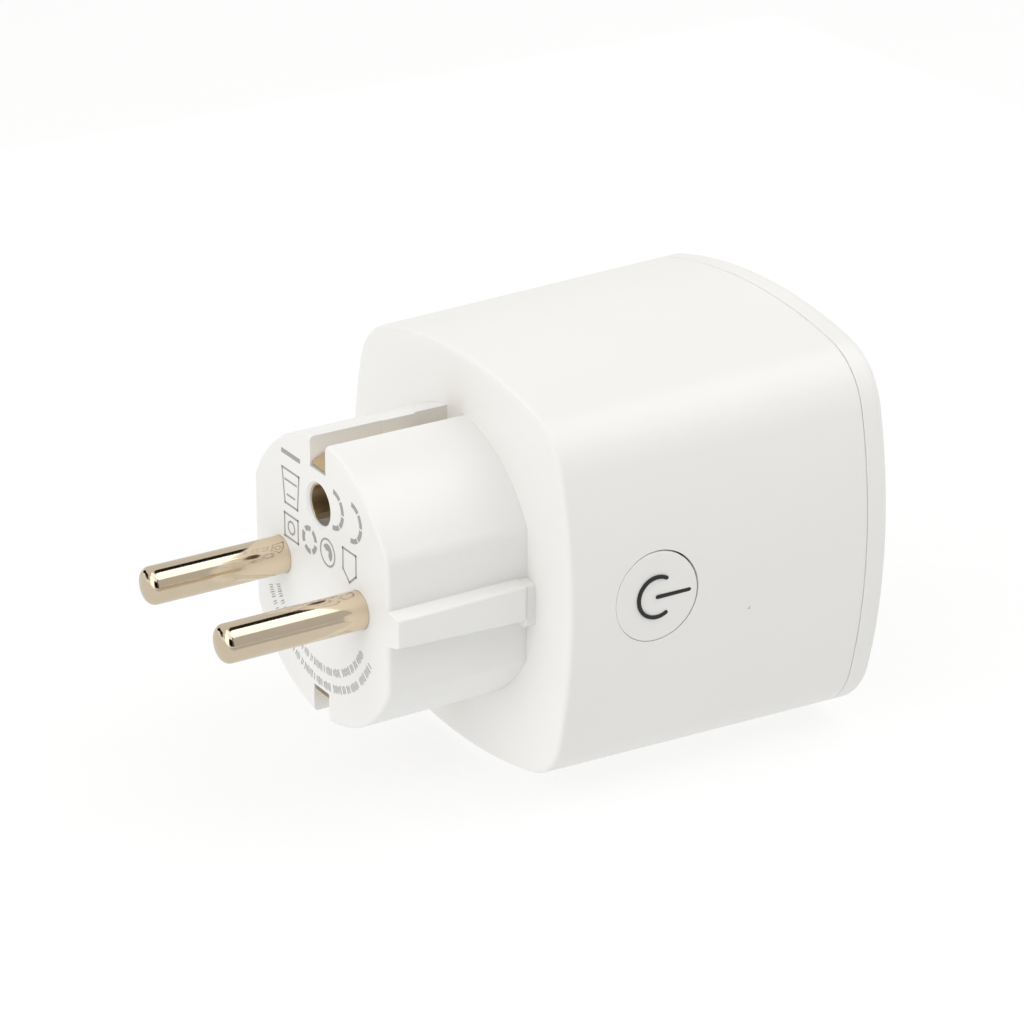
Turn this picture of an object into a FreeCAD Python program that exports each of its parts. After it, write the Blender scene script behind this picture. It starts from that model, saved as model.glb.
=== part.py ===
import FreeCAD, Part
import math
import os

# A plug-in power meter: an earthed 16 A plug behind, a metered and switched earthed socket in front.
# The origin is the centre of the plug's face, between its two live pins. +Z is up, +X is the side with
# the button, the pins point along -Y and the socket opens along +Y. Every length is in millimetres.

# Plug: pins, drum-shaped boss, its side ribs and its earth slots.
PIN_RADIUS = 2.4
PIN_LENGTH = 19.0
PIN_OFFSET = 9.5
PIN_CROWN = 4.4
PIN_TIP_EDGE = 1.05
PIN_NECK_RADIUS = 2.0
PIN_SEAT = 0.15
PIN_GAP = 0.03
PIN_TAIL_RADIUS = 1.3
BOSS_RADIUS = 18.3
BOSS_LENGTH = 19.3
BOSS_FLAT = 16.2
BOSS_FACE = 3.0
BOSS_SKIN = 2.0
BOSS_EDGE = 0.6
BOSS_FLAT_EDGE = 2.5
RIB_EDGE = 0.3
RIB_REACH = 18.6
RIB_ROOT = (-2.45, 2.45)
RIB_TIP_FRONT = (-1.5, 2.0)
RIB_TIP_BACK = (-2.25, 2.35)
RIB_START_FAR = 2.0
RIB_END = 17.85
PAD_REACH = 18.1
PAD_Z = (-3.35, 2.2)
PAD_EDGE = 0.45
SLOT_HALF = 1.85
SLOT_NARROW = (10.0, 0.15)
SLOT_POCKET = (14.6, 0.3)
SLOT_FLOOR = 14.4
SLOT_END = BOSS_LENGTH
SLOT_SUMP = (0.7, 13.0, 13.9)
EARTH_HOLE_Z = 10.0
EARTH_HOLE_RADIUS = 2.65
EARTH_HOLE_LEAD = 0.3
SLEEVE_BORE = 2.45
SLEEVE_RADIUS = 3.1
SLEEVE_Y = (0.5, 19.4)
SLEEVE_SLIT = 1.6
SLEEVE_RELIEF = 4.0

# Body: a rounded square with crowned sides that widens towards the socket.
BODY_LENGTH = 46.2
BACK_HALF = 25.8
FRONT_HALF = 26.9
BACK_CROWN = 68.0
FRONT_CROWN = 72.0
BACK_CORNER = 8.6
FRONT_CORNER = 9.6
WALL = 2.0
BACK_EDGE = 0.6
FRONT_EDGE = 1.2
COVER_DEPTH = 3.4
SEAM_GAP = 0.12
SEAM_EDGE = 0.12
SEAM_DEPTH = 0.22
SLIP = 0.05
BOSS_SLIP = 0.01

# Socket: the recess, its keys and the holes for the live pins.
RECESS_RADIUS = 19.5
RECESS_DEPTH = 17.5
RECESS_FLAT = 17.0
RECESS_GROOVE = 2.9
RECESS_WALL = 1.8
RECESS_LIP = 0.5
FLOOR = 2.0
APERTURE_RADIUS = 2.75
APERTURE_LEAD = 0.6

# Stations along Y that follow from the sizes above.
WALL_Y = BOSS_LENGTH
INNER_Y = WALL_Y + WALL
FACE_Y = WALL_Y + BODY_LENGTH
SEAM_Y = FACE_Y - COVER_DEPTH
FLOOR_Y = FACE_Y - RECESS_DEPTH
FLOOR_BACK = FLOOR_Y - FLOOR
SKIRT_Y = SEAM_Y - 6.0
SKIRT_INSET = WALL + 0.1
SKIRT_WALL = 1.4

# Button in the +X side, and the switch behind it.
BUTTON_Y = 31.4
BUTTON_Z = 0.6
BUTTON_RADIUS = 5.75
BUTTON_GAP = 0.13
BUTTON_SAG = 0.06
BUTTON_FLANGE = 7.0
BUTTON_DISC_BACK = 24.6
BUTTON_BACK = 22.6
FLANGE_FRONT = 23.4
SYMBOL_RADIUS = 2.85
SYMBOL_STROKE = 0.5
SYMBOL_SLACK = 0.02
SYMBOL_FACE = 26.2
SYMBOL_OPENING = 60.0
SYMBOL_BAR = (0.05, 4.6)
PINHOLE = (44.9, -4.0, 0.2, 0.3)

# Boss flange and the board screwed to its posts.
FLANGE = (INNER_Y, INNER_Y + 1.5)
FLANGE_HALF = 22.3
BOARD = (25.0, 26.6)
BOARD_HALF = 20.3
BOARD_BACK, BOARD_FRONT = BOARD
LEAD_END = 24.0
SCREW_PLACES = [(14.5, 18.3), (14.5, -18.3), (-14.5, -18.3)]
SCREW_RADIUS = 1.1
SCREW_HEAD = 1.9

# Control board, parallel to the button's side.
CONTROL_X = (19.4, 20.6)
CONTROL_Y = (27.0, 45.2)
CONTROL_HALF = 15.0

# Earth path: sheet brass, bent.
EARTH_SHEET = 0.6
EARTH_HALF = 1.7
EARTH_LEG_Z = 21.3
EARTH_LEG_END = 32.0
RIVET_Y = 29.5

# Child-protection shutter, behind the recess floor.
SLIDER_Y = (43.0, FLOOR_BACK - 0.3)
SLIDER_WING = (5.5, 13.5)
SLIDER_HALF = 3.2
SLIDER_BRIDGE = (-6.4, -SLIDER_HALF)
RETAINER_Y = (41.2, 42.8)
RETAINER_X = 15.5
RETAINER_Z = (-19.5, 4.9)
SPRING_SEAT = -18.0
SPRING_RADIUS = 1.2
SPRING_WIRE = 0.2
SHUTTER_SCREWS = [(-11.0, -15.0), (11.0, -15.0)]
SHUTTER_SCREW_RADIUS = 0.9

# Relay: its footprint on the board, and its moving armature.
RELAY_X = (-20.3, -2.3)
RELAY_Z = (5.2, 17.8)
RELAY_BASE = 1.5
RELAY_TOP = 42.0
RELAY_SKIN = 0.7
RELAY_MID_Z = sum(RELAY_Z) / 2
COIL_X = -13.5
COIL_Y = (29.3, 38.6)
POLE_Y = 39.4
YOKE_X = (-8.3, -7.3)
ARMATURE_Y = (39.75, 40.75)
CONTACT_Y = 31.0

# Leaded components: centre (x, z) on the board, then lead spacing.
BULK_CAP = (0.0, -6.8, 5.0)
OUTPUT_CAP = (15.6, 8.2, 2.0)
CHOKE = (8.2, 11.2, 5.0)
SAFETY_CAP = (-13.0, -8.1, 10.0)
VARISTOR = (-13.0, -13.9, 5.0)
FUSE = (5.8, -16.2, 10.0)
CONTACT_FEET = (-2.55, 2.55)
LEAD_RADIUS = 0.35
LEAD_HOLE_GAP = 0.1
HEADER_Z = [-13.2 + 2.54 * i for i in range(5)]
HEADER_X = 18.15
RELAY_PINS = [(-18.6, 7.2), (-18.6, 15.8), (-7.8, RELAY_MID_Z)]


def vector(x, y, z):
    return FreeCAD.Vector(x, y, z)


def box(x, y, z):
    """A block between three (low, high) pairs."""
    return Part.makeBox(x[1] - x[0], y[1] - y[0], z[1] - z[0], vector(x[0], y[0], z[0]))


def rod(radius, y, x=0.0, z=0.0):
    """A cylinder along Y between the two stations in y."""
    return Part.makeCylinder(radius, y[1] - y[0], vector(x, y[0], z), vector(0, 1, 0))


def peg(radius, x, y, z):
    """A cylinder along X between the two stations in x."""
    return Part.makeCylinder(radius, x[1] - x[0], vector(x[0], y, z), vector(1, 0, 0))


def post(radius, x, y, z):
    """A cylinder along Z between the two stations in z."""
    return Part.makeCylinder(radius, z[1] - z[0], vector(x, y, z[0]), vector(0, 0, 1))


def tube(outer, inner, y, x=0.0, z=0.0):
    return rod(outer, y, x, z).cut(rod(inner, y, x, z))


def fused(*shapes):
    return shapes[0].multiFuse(list(shapes[1:])).removeSplitter()


def group(solids):
    return Part.makeCompound(solids)


def both_sides(shape):
    """The shape and its mirror image across the plane x = 0."""
    return [shape, shape.mirror(vector(0, 0, 0), vector(1, 0, 0))]


def flipped(shape):
    """The shape's mirror image across the plane z = 0."""
    return shape.mirror(vector(0, 0, 0), vector(0, 0, 1))


def edges_at(shape, y):
    """The edges that lie wholly in the plane at y."""
    return [e for e in shape.Edges if all(abs(v.Point.y - y) < 1e-5 for v in e.Vertexes)]


def unit(a, b):
    length = math.dist(a, b)
    return ((b[0] - a[0]) / length, (b[1] - a[1]) / length)


def side_points(points, bend, offset):
    """One side of a bent strip: its corners as (tangent, middle, tangent) triples, its ends as points."""
    first, last = unit(points[0], points[1]), unit(points[-2], points[-1])
    side = [(points[0][0] - first[1] * offset, points[0][1] + first[0] * offset)]
    for before, here, after in zip(points, points[1:], points[2:]):
        a, b = unit(before, here), unit(here, after)
        cross = a[0] * b[1] - a[1] * b[0]
        turn = math.atan2(abs(cross), a[0] * b[0] + a[1] * b[1])
        sign = math.copysign(1, cross)
        back = bend * math.tan(turn / 2)
        start = (here[0] - a[0] * back, here[1] - a[1] * back)
        end = (here[0] + b[0] * back, here[1] + b[1] * back)
        centre = (start[0] - sign * a[1] * bend, start[1] + sign * a[0] * bend)
        out = unit(centre, here)
        radius = bend - sign * offset
        side.append((
            (start[0] - a[1] * offset, start[1] + a[0] * offset),
            (centre[0] + out[0] * radius, centre[1] + out[1] * radius),
            (end[0] - b[1] * offset, end[1] + b[0] * offset),
        ))
    side.append((points[-1][0] - last[1] * offset, points[-1][1] + last[0] * offset))
    return side


def bent_strip(points, sheet, bend, place, width):
    """A strip of sheet metal that follows the points with rounded bends, extruded by the vector width."""
    left = side_points(points, bend, sheet / 2)
    right = [item[::-1] if isinstance(item[0], tuple) else item
             for item in reversed(side_points(points, bend, -sheet / 2))]
    edges, here = [], None
    for item in left + right + left[:1]:
        corner = item if isinstance(item[0], tuple) else (item,)
        if here is not None:
            edges.append(Part.LineSegment(place(*here), place(*corner[0])).toShape())
        if len(corner) == 3:
            edges.append(Part.Arc(*(place(*p) for p in corner)).toShape())
        here = corner[-1]
    return Part.Face(Part.Wire(edges)).extrude(width)


def strip_yz(points, sheet, bend, half):
    """A bent strip whose path lies in the YZ plane, as wide as twice half along X."""
    return bent_strip(points, sheet, bend, lambda y, z: vector(-half, y, z), vector(2 * half, 0, 0))


def strip_xy(points, sheet, bend, z):
    """A bent strip whose path lies in the XY plane, between the two heights in z."""
    return bent_strip(points, sheet, bend, lambda x, y: vector(x, y, z[0]), vector(0, 0, z[1] - z[0]))


def rounded_square(half, crown, corner, y):
    """Closed outline at y: four crowned sides joined by tangent corner arcs."""
    drop = half - crown
    reach = crown - corner
    centre = (drop + math.sqrt(2 * reach ** 2 - drop ** 2)) / 2
    tangent = (drop + crown * (centre - drop) / reach, crown * centre / reach)
    tip = centre + corner / math.sqrt(2)
    quarter = [(tangent[0], -tangent[1]), (half, 0), tangent, (tip, tip), tangent[::-1]]
    edges = []
    for turn in range(4):
        c, s = round(math.cos(turn * math.pi / 2)), round(math.sin(turn * math.pi / 2))
        p = [vector(c * u - s * w, y, s * u + c * w) for u, w in quarter]
        edges += [Part.Arc(*p[0:3]).toShape(), Part.Arc(*p[2:5]).toShape()]
    return Part.Wire(edges)


def body_outline(y, inset):
    """The body's section at y, drawn in by inset."""
    share = (y - WALL_Y) / BODY_LENGTH
    ends = ((BACK_HALF, FRONT_HALF), (BACK_CROWN, FRONT_CROWN), (BACK_CORNER, FRONT_CORNER))
    sizes = [back + (front - back) * share - inset for back, front in ends]
    return rounded_square(*sizes, y)


def body_block(y, inset):
    return Part.makeLoft([body_outline(y[0], inset), body_outline(y[1], inset)], True, True)


def section_block(outline_a, outline_b):
    """A solid between two polygons with the same number of corners."""
    wires = [Part.makePolygon([vector(*p) for p in line + line[:1]]) for line in (outline_a, outline_b)]
    return Part.makeLoft(wires, True, True)


# Casing


def rib_outline(side, y):
    """The rib's section at y: a trapezoid whose tip thickens from the plug's face to the body."""
    share = y / RIB_END
    low, high = (front + (back - front) * share for front, back in zip(RIB_TIP_FRONT, RIB_TIP_BACK))
    root, reach = side * (BOSS_FLAT - 1.0), side * RIB_REACH
    return [(root, y, RIB_ROOT[0]), (reach, y, low), (reach, y, high), (root, y, RIB_ROOT[1])]


def boss_drum(y, grow=0.0):
    """The round plug boss with its two side flats, without the ribs."""
    drum = rod(BOSS_RADIUS + grow, y)
    far = BOSS_RADIUS + 5
    for cheek in both_sides(box((BOSS_FLAT + grow, far), (y[0] - 1, y[1] + 1), (-far, far))):
        drum = drum.cut(cheek)
    return drum


def boss_ribs():
    """The guide ribs. The one on the button's side starts at the plug's face, the far one behind it."""
    return [section_block(rib_outline(side, start), rib_outline(side, RIB_END))
            for side, start in ((1, 0.0), (-1, RIB_START_FAR))]


def rib_pads(grow=0.0):
    """The pad that each rib ends on, where it meets the body."""
    reach, end = PAD_REACH + grow, INNER_Y + 2 * grow
    pad = box((BOSS_FLAT - 1, reach), (RIB_END, end), (PAD_Z[0] - grow, PAD_Z[1] + grow))
    outer = [e for e in pad.Edges if e.CenterOfMass.x > reach - 0.1 and e.CenterOfMass.y < end - 0.1]
    return both_sides(pad.makeFillet(PAD_EDGE, outer))


def plug_body():
    """The drum and its ribs with every outer edge rounded, before anything is cut into them."""
    drum = boss_drum((0, INNER_Y))
    beside_flats = [e for e in drum.Edges if abs(e.CenterOfMass.y - INNER_Y / 2) < 0.1
                    and abs(abs(e.CenterOfMass.x) - BOSS_FLAT) < 0.1]
    drum = drum.makeFillet(BOSS_FLAT_EDGE, beside_flats)
    drum = drum.makeFillet(BOSS_EDGE, edges_at(drum, 0))
    ribs = []
    for rib in boss_ribs():
        tip = [e for e in rib.Edges if abs(e.CenterOfMass.x) > RIB_REACH - 0.1]
        ribs.append(rib.makeFillet(RIB_EDGE, tip))
    return fused(drum, *ribs, *rib_pads())


def slot_cutters():
    """The two earth slots. One side steps in half way along and then opens into a pocket; the floor
    drops behind a lip at the plug's face to give the strip room to bend."""
    height = (SLOT_FLOOR, BOSS_RADIUS + 2)
    narrow_y, narrow = SLOT_NARROW
    pocket_y, pocket = SLOT_POCKET
    sump_start, sump_end, sump_floor = SLOT_SUMP
    slot = fused(
        box((-SLOT_HALF, SLOT_HALF), (-1, narrow_y), height),
        box((narrow - SLOT_HALF, SLOT_HALF), (-1, SLOT_END), height),
        box((-SLOT_HALF - pocket, 0), (pocket_y, SLOT_END), height),
        box((-SLOT_HALF, SLOT_HALF), (sump_start, sump_end), (sump_floor, SLOT_FLOOR + 1)),
        box((-EARTH_HALF - 0.1, EARTH_HALF + 0.1), (SLOT_END - 1, FLANGE[1] + 1), (14.6, 15.4)),
    )
    return [slot, flipped(slot)]


def boss_cavity():
    """The hollow of the boss, which leaves a wall under each slot and beside each flat."""
    hollow = (BOSS_FACE, FLANGE[1] + 1)
    cavity = rod(BOSS_RADIUS - BOSS_SKIN, hollow)
    side = BOSS_FLAT - BOSS_SKIN
    cavity = cavity.common(box((-side, side), hollow, (-20, 20)))
    roof = box((-3.9, 3.9), hollow, (SLOT_FLOOR - 1.8, 20))
    return cavity.cut(roof).cut(flipped(roof))


def make_plug_boss():
    plate = rounded_square(FLANGE_HALF, BACK_CROWN, BACK_CORNER, FLANGE[0])
    flange = Part.Face(plate).extrude(vector(0, FLANGE[1] - FLANGE[0], 0))
    boss = fused(plug_body(), flange).cut(boss_cavity())
    pin_posts = [rod(4.3, (BOSS_FACE - 1, 10.0), x) for x in (-PIN_OFFSET, PIN_OFFSET)]
    sleeve_post = rod(SLEEVE_RADIUS + 1.3, (BOSS_FACE - 1, SLEEVE_Y[1] + 0.3), 0, EARTH_HOLE_Z)
    screw_posts = [rod(2.5, (FLANGE[0] + 1, BOARD_BACK), x, z) for x, z in SCREW_PLACES]
    boss = fused(boss, sleeve_post, *pin_posts, *screw_posts)
    cutters = slot_cutters()
    for x in (-PIN_OFFSET, PIN_OFFSET):
        cutters += [rod(PIN_NECK_RADIUS + 0.02, (-1, 11), x), rod(PIN_RADIUS + PIN_GAP, (-1, PIN_SEAT), x)]
    cutters += [rod(SCREW_RADIUS, (FLANGE[0] + 0.4, BOARD_BACK + 1), x, z) for x, z in SCREW_PLACES]
    cutters.append(rod(EARTH_HOLE_RADIUS, (-1, SLEEVE_Y[0] + 1), 0, EARTH_HOLE_Z))
    cutters.append(Part.makeCone(EARTH_HOLE_RADIUS + EARTH_HOLE_LEAD, EARTH_HOLE_RADIUS, EARTH_HOLE_LEAD,
                                 vector(0, 0, EARTH_HOLE_Z), vector(0, 1, 0)))
    cutters.append(rod(SLEEVE_RADIUS + 0.03, (SLEEVE_Y[0], SLEEVE_Y[1] + 1), 0, EARTH_HOLE_Z))
    cutters.append(box((-SLEEVE_SLIT, SLEEVE_SLIT), (SLEEVE_Y[0], SLEEVE_Y[1] - 2),
                       (EARTH_HOLE_Z - SLEEVE_RELIEF, EARTH_HOLE_Z)))
    return boss.cut(group(cutters))


def board_rails():
    """Two rails on the shell that hold the control board's long edges."""
    rail = box((18.2, 21.8), (BOARD_FRONT + 0.3, CONTROL_Y[1]), (CONTROL_HALF + 0.2, 22))
    rail = rail.cut(box((CONTROL_X[0] - 0.1, CONTROL_X[1] + 0.1), (20, 50), (0, CONTROL_HALF + 1.2)))
    return [rail, flipped(rail)]


def flange_catches():
    """Ledges on the shell's top and bottom that hold the boss flange against the back wall."""
    ledges = []
    for x in (-12.0, 8.0):
        ledge = box((x, x + 4.0), (FLANGE[1] + SLIP, FLANGE[1] + 1.2), (FLANGE_HALF - 1.6, 25))
        ledges += [ledge, flipped(ledge)]
    return ledges


def snap_ridges(grow=0.0):
    """Ridges on the cover's skirt, one per side, which click into grooves in the shell."""
    y = (SKIRT_Y + 1.6 - grow, SKIRT_Y + 2.8 + grow)
    half = 6.0 + grow
    reach = WALL - 0.5 - grow
    ring = body_block(y, reach).cut(body_block((y[0] - 1, y[1] + 1), SKIRT_INSET + 0.3))
    bars = fused(box((-half, half), y, (-30, 30)), box((-30, 30), y, (-half, half)))
    return ring.common(bars)


def make_main_shell():
    outside = body_block((WALL_Y, SEAM_Y), 0)
    outside = outside.makeFillet(BACK_EDGE, edges_at(outside, WALL_Y))
    outside = outside.makeFillet(SEAM_EDGE, edges_at(outside, SEAM_Y))
    shell = outside.cut(body_block((INNER_Y, SEAM_Y + 1), WALL))
    inside_parts = board_rails() + flange_catches()
    guide = peg(BUTTON_RADIUS + BUTTON_GAP + 1.4, (FLANGE_FRONT + SLIP, 25.5), BUTTON_Y, BUTTON_Z)
    shell = fused(shell, *[piece.common(outside) for piece in inside_parts + [guide]])
    hole = (WALL_Y - 1, INNER_Y + 1)
    shell = shell.cut(fused(boss_drum(hole, BOSS_SLIP), *rib_pads(BOSS_SLIP)))
    shell = shell.cut(peg(BUTTON_RADIUS + BUTTON_GAP, (22, 30), BUTTON_Y + BUTTON_SAG, BUTTON_Z + BUTTON_SAG))
    y, z, radius, depth = PINHOLE
    surface = BACK_HALF + (FRONT_HALF - BACK_HALF) * (y - WALL_Y) / BODY_LENGTH
    shell = shell.cut(peg(radius, (surface - depth, surface + 1), y, z))
    return shell.cut(snap_ridges(0.1))


def recess_cutter():
    """The socket's round recess, with a key flat on each side and a groove down each flat."""
    span = (FLOOR_Y, FACE_Y + 1)
    cutter = rod(RECESS_RADIUS, span)
    flats = box((RECESS_FLAT, 25), (FLOOR_Y - 1, FACE_Y - 1.6), (-12, 12))
    grooves = box((RECESS_FLAT - 1, RECESS_RADIUS - 0.2), span, (-RECESS_GROOVE, RECESS_GROOVE))
    for flat in both_sides(flats):
        cutter = cutter.cut(flat)
    return fused(cutter, *both_sides(grooves))


def clip_windows():
    """The openings in the recess wall, at top and bottom, that the earth clips spring through."""
    window = box((-2.3, 2.3), (FLOOR_Y + 1.2, FACE_Y - 2.2), (15, RECESS_RADIUS + RECESS_WALL + 0.6))
    mouth = box((-2.3, 2.3), (FACE_Y - 4, FACE_Y + 1), (15, RECESS_RADIUS + 1.1))
    return [window, flipped(window), mouth, flipped(mouth)]


def aperture_cutters():
    """The two live-pin holes, each with a flared mouth."""
    cutters = []
    for x in (-PIN_OFFSET, PIN_OFFSET):
        flare = Part.makeCone(APERTURE_RADIUS, APERTURE_RADIUS + APERTURE_LEAD, APERTURE_LEAD,
                              vector(x, FLOOR_Y - APERTURE_LEAD, 0), vector(0, 1, 0))
        cutters += [rod(APERTURE_RADIUS, (FLOOR_BACK - 1, FLOOR_Y), x), flare]
    return cutters


def make_socket_cover():
    rim = body_block((SEAM_Y + SEAM_GAP, FACE_Y), 0)
    rim = rim.makeFillet(FRONT_EDGE, edges_at(rim, FACE_Y))
    rim = rim.makeFillet(SEAM_EDGE, edges_at(rim, SEAM_Y + SEAM_GAP))
    ledge = body_block((SEAM_Y + 0.02, SEAM_Y + 1), SEAM_DEPTH)
    skirt = body_block((SKIRT_Y, SEAM_Y + 1), SKIRT_INSET)
    hollow = body_block((SKIRT_Y - 1, FACE_Y - 2.2), SKIRT_INSET + SKIRT_WALL)
    cup = rod(RECESS_RADIUS + RECESS_WALL, (FLOOR_BACK, FACE_Y - 1))
    cover = fused(rim, ledge, skirt).cut(hollow)
    cover = fused(cover, cup, snap_ridges())
    pilot = (FLOOR_BACK - 1, FLOOR_BACK + 1.4)
    pilots = [rod(SHUTTER_SCREW_RADIUS, pilot, x, z) for x, z in SHUTTER_SCREWS]
    lip = Part.makeCone(RECESS_RADIUS, RECESS_RADIUS + RECESS_LIP, RECESS_LIP,
                        vector(0, FACE_Y - RECESS_LIP, 0), vector(0, 1, 0))
    cover = cover.cut(recess_cutter()).cut(lip)
    return cover.cut(group(clip_windows() + aperture_cutters() + pilots))


# Plug metalwork


def make_pin(x):
    """A solid live pin: crowned tip, shank, neck in the boss, retaining collar and solder tail."""
    crown_y = PIN_CROWN - PIN_LENGTH
    tip = rod(PIN_RADIUS, (-PIN_LENGTH, crown_y), x).common(Part.makeSphere(PIN_CROWN, vector(x, crown_y, 0)))
    shoulder = [e for e in tip.Edges if -PIN_LENGTH < e.CenterOfMass.y < 1 - PIN_LENGTH and e.Length > 9]
    tip = tip.makeFillet(PIN_TIP_EDGE, shoulder)
    shank = rod(PIN_RADIUS, (crown_y, PIN_SEAT), x)
    neck = rod(PIN_NECK_RADIUS, (PIN_SEAT, 10.0), x)
    collar = rod(3.2, (10.0, 11.2), x)
    tail = rod(PIN_TAIL_RADIUS, (11.2, BOARD_FRONT + 0.6), x)
    return fused(shank, tip, neck, collar, tail)


def make_earth_sleeve():
    """The female earth contact: a brass tube, slit along its underside, with a tail to the bridge."""
    front, end = SLEEVE_Y
    sleeve = rod(SLEEVE_RADIUS, SLEEVE_Y, 0, EARTH_HOLE_Z)
    sleeve = sleeve.cut(rod(SLEEVE_BORE, (front - 1, end - 0.8), 0, EARTH_HOLE_Z))
    slit = box((-SLEEVE_SLIT, SLEEVE_SLIT), (front - 1, end - 2.0), (EARTH_HOLE_Z - 5, EARTH_HOLE_Z))
    return fused(sleeve.cut(slit), rod(1.2, (end - 0.4, 22.9), 0, EARTH_HOLE_Z))


def make_earth_strip():
    """The plug's upper earth strip: bowed in its slot, then out past the board to the socket's clip."""
    path = [(0.25, 14.8), (3.0, 16.05), (12.6, 16.05), (15.6, 15.0), (23.6, 15.0),
            (23.6, EARTH_LEG_Z), (EARTH_LEG_END, EARTH_LEG_Z)]
    strip = strip_yz(path, EARTH_SHEET, 0.6, EARTH_HALF)
    return strip.cut(post(0.9, 0, RIVET_Y, (EARTH_LEG_Z - 1, EARTH_LEG_Z + 1)))


def make_earth_bridge():
    """The strap behind the boss that joins both earth strips and the sleeve."""
    y = (22.9, 23.3)
    strap = box((-EARTH_HALF, EARTH_HALF), y, (-19.5, 19.5))
    eyes = [box((-2.8, 2.8), y, (z - 1.8, z + 1.8)) for z in (-15.0, 15.0)]
    half = EARTH_HALF + 0.1
    windows = [box((-half, half), (22, 24), (z - 0.5, z + 0.5)) for z in (-15.0, 15.0)]
    return fused(strap, *eyes).cut(group(windows))


# Socket metalwork


def make_earth_clip():
    """The socket's upper earth clip: a leaf that springs in through the recess wall."""
    tail = EARTH_LEG_Z + EARTH_SHEET
    path = [(27.5, tail), (60.6, tail), (61.6, 19.4), (57.6, 15.2), (51.0, 19.6)]
    clip = strip_yz(path, EARTH_SHEET, 0.8, EARTH_HALF)
    return clip.cut(post(0.9, 0, RIVET_Y, (tail - 1, tail + 1)))


def make_earth_rivets():
    """One rivet through each strip and clip, with a head on both sides."""
    low, high = EARTH_LEG_Z - EARTH_SHEET / 2, EARTH_LEG_Z + EARTH_SHEET * 1.5
    heads = [post(1.5, 0, RIVET_Y, (low - 0.4, low)), post(1.5, 0, RIVET_Y, (high, high + 0.4))]
    rivet = fused(post(0.9, 0, RIVET_Y, (low, high)), *heads)
    return group([rivet, flipped(rivet)])


def make_socket_contact(x):
    """A female contact: one sheet bent into two springy leaves, with two feet through the board."""
    path = [(x - 3.3, 40.4), (x - 2.15, 37.6), (x - 3.0, 33.0), (x - 3.0, 28.3),
            (x + 3.0, 28.3), (x + 3.0, 33.0), (x + 2.15, 37.6), (x + 3.3, 40.4)]
    leaves = strip_xy(path, 0.8, 0.7, (-3.0, 3.0))
    feet = [box((x - 0.4, x + 0.4), (LEAD_END, 28.3), (z - 0.4, z + 0.4)) for z in CONTACT_FEET]
    return fused(leaves, *feet)


# Shutter


def make_shutter_slider():
    """The shutter: two ramped wings over the pin holes, joined by a bridge with the spring's peg."""
    back, front = SLIDER_Y
    low, high = -SLIDER_HALF, SLIDER_HALF
    wings = []
    for x0, x1 in (SLIDER_WING, (-SLIDER_WING[1], -SLIDER_WING[0])):
        side = [(x0, back, low), (x0, front, low), (x0, front, low + 0.6), (x0, back + 0.7, high),
                (x0, back, high)]
        wings.append(section_block(side, [(x1, y, z) for _, y, z in side]))
    bridge = box((-SLIDER_WING[1], SLIDER_WING[1]), SLIDER_Y, (SLIDER_BRIDGE[0], SLIDER_BRIDGE[1]))
    middle = sum(SLIDER_Y) / 2
    spring_peg = post(0.8, 0, middle, (SLIDER_BRIDGE[0] - 1.5, SLIDER_BRIDGE[0] + 1))
    return fused(bridge, *wings, spring_peg)


def make_shutter_spring():
    """The helical spring that pushes the slider up over the pin holes."""
    low = SPRING_SEAT + SPRING_WIRE + 0.02
    height = SLIDER_BRIDGE[0] - SPRING_WIRE - 0.02 - low
    helix = Part.makeHelix(height / 6, height, SPRING_RADIUS)
    middle = sum(SLIDER_Y) / 2
    helix.translate(vector(0, middle, low))
    start = vector(SPRING_RADIUS, middle, low)
    profile = Part.Wire(Part.makeCircle(SPRING_WIRE, start, vector(0, 1, 0.25)))
    return Part.Wire(helix.Edges).makePipeShell([profile], True, True)


def make_shutter_retainer():
    """The tray that holds the slider and its spring against the recess floor."""
    plate = box((-RETAINER_X, RETAINER_X), RETAINER_Y, RETAINER_Z)
    inside = (RETAINER_Y[1], FLOOR_BACK)
    top = box((-RETAINER_X, RETAINER_X), inside, (SLIDER_HALF + 0.2, RETAINER_Z[1]))
    seat = box((-2.5, 2.5), inside, (RETAINER_Z[0], SPRING_SEAT))
    guides = both_sides(box((SLIDER_WING[1] + 0.2, RETAINER_X), inside, (-13.5, RETAINER_Z[1])))
    middle = sum(SLIDER_Y) / 2
    spring_peg = post(0.8, 0, middle, (SPRING_SEAT - 0.5, SPRING_SEAT + 1.5))
    posts = [rod(2.2, (RETAINER_Y[0], FLOOR_BACK), x, z) for x, z in SHUTTER_SCREWS]
    tray = fused(plate, top, seat, *guides, spring_peg, *posts)
    tray = tray.common(rod(RECESS_RADIUS + 1.3, (RETAINER_Y[0], FLOOR_BACK)))
    holes = [rod(APERTURE_RADIUS + 0.2, (40, 47), x) for x in (-PIN_OFFSET, PIN_OFFSET)]
    holes += [rod(SHUTTER_SCREW_RADIUS, (40, 47), x, z) for x, z in SHUTTER_SCREWS]
    return tray.cut(group(holes))


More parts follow.
